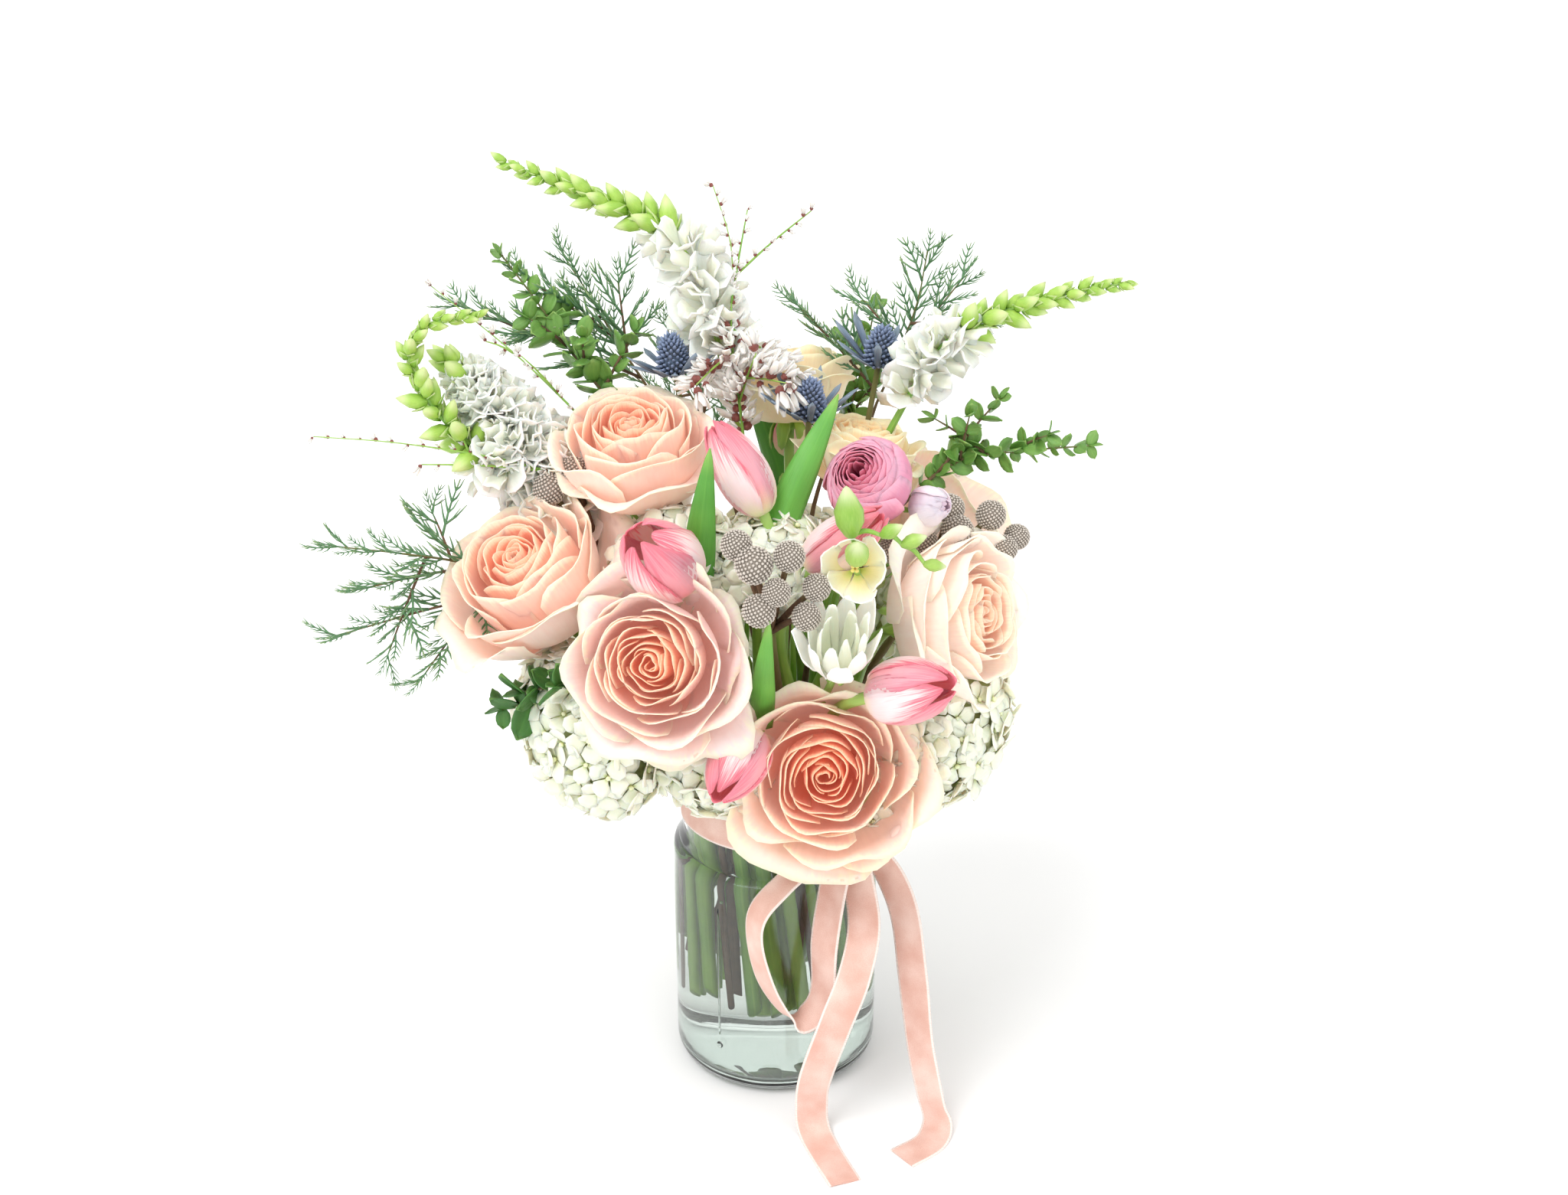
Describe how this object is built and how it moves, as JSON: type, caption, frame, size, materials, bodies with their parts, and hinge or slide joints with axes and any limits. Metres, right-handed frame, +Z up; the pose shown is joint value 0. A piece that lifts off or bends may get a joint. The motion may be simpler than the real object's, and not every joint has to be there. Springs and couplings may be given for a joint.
{
  "type": "roses in a vase",
  "caption": "Mixed bouquet of peach roses, tulips, hydrangea and wild greens standing in a clear glass canning jar of water, with a velvet ribbon tied round the neck.",
  "frame": {"origin": "centre of the jar's flat base, on the surface that it stands on", "axes": "+Z up along the jar's axis, -Y towards the front of the bouquet where the ribbon is tied, +X to the right seen from the front"},
  "size_m": [0.3462, 0.2256, 0.4134],
  "materials": {
    "glass": "gloss",
    "water": "gloss",
    "velvet": "matte",
    "rose": "matte",
    "tulip": "satin",
    "ranunculus": "satin",
    "freesia": "satin",
    "lisianthus": "satin",
    "brunia": "matte",
    "hydrangea": "matte",
    "snapdragon": "satin",
    "stock": "matte",
    "eryngium": "matte",
    "genista": "matte",
    "boxwood": "satin",
    "cypress": "matte",
    "foliage": "satin"
  },
  "bodies": {
    "root": {"jar": "glass", "water": "water", "ribbon_band": "velvet", "ribbon_knot": "velvet", "ribbon_loop": "velvet", "ribbon_tail_long": "velvet", "ribbon_tail_short": "velvet", "rose_top_left": "rose", "rose_left": "rose", "rose_front_left": "rose", "rose_front_low": "rose", "rose_right": "rose", "rose_top_back": "rose", "rose_top_centre": "rose", "rose_back_left": "rose", "rose_back_right": "rose", "tulip_left": "tulip", "tulip_top": "tulip", "tulip_centre_right": "tulip", "tulip_right": "tulip", "tulip_low": "tulip", "tulip_back": "tulip", "ranunculus": "ranunculus", "freesia": "freesia", "lisianthus": "lisianthus", "brunia_centre": "brunia", "brunia_left": "brunia", "brunia_right": "brunia", "eryngium_left": "eryngium", "eryngium_centre": "eryngium", "eryngium_right": "eryngium", "snapdragon_top": "snapdragon", "snapdragon_left": "snapdragon", "snapdragon_right": "snapdragon", "stock_left": "stock", "genista_centre": "genista", "genista_left_long": "genista", "genista_left_short": "genista", "boxwood_left": "boxwood", "boxwood_right": "boxwood", "boxwood_back": "boxwood", "cypress_top_right": "cypress", "cypress_top_left": "cypress", "cypress_left": "cypress", "cypress_back": "cypress", "leaf_twig_left": "foliage", "hydrangea_front_left": "hydrangea", "hydrangea_upper_left": "hydrangea", "hydrangea_centre": "hydrangea", "hydrangea_rim": "hydrangea", "hydrangea_right": "hydrangea", "hydrangea_under": "hydrangea", "hydrangea_back_left": "hydrangea", "hydrangea_back_right": "hydrangea", "hydrangea_back": "hydrangea"}
  },
  "joints": []
}
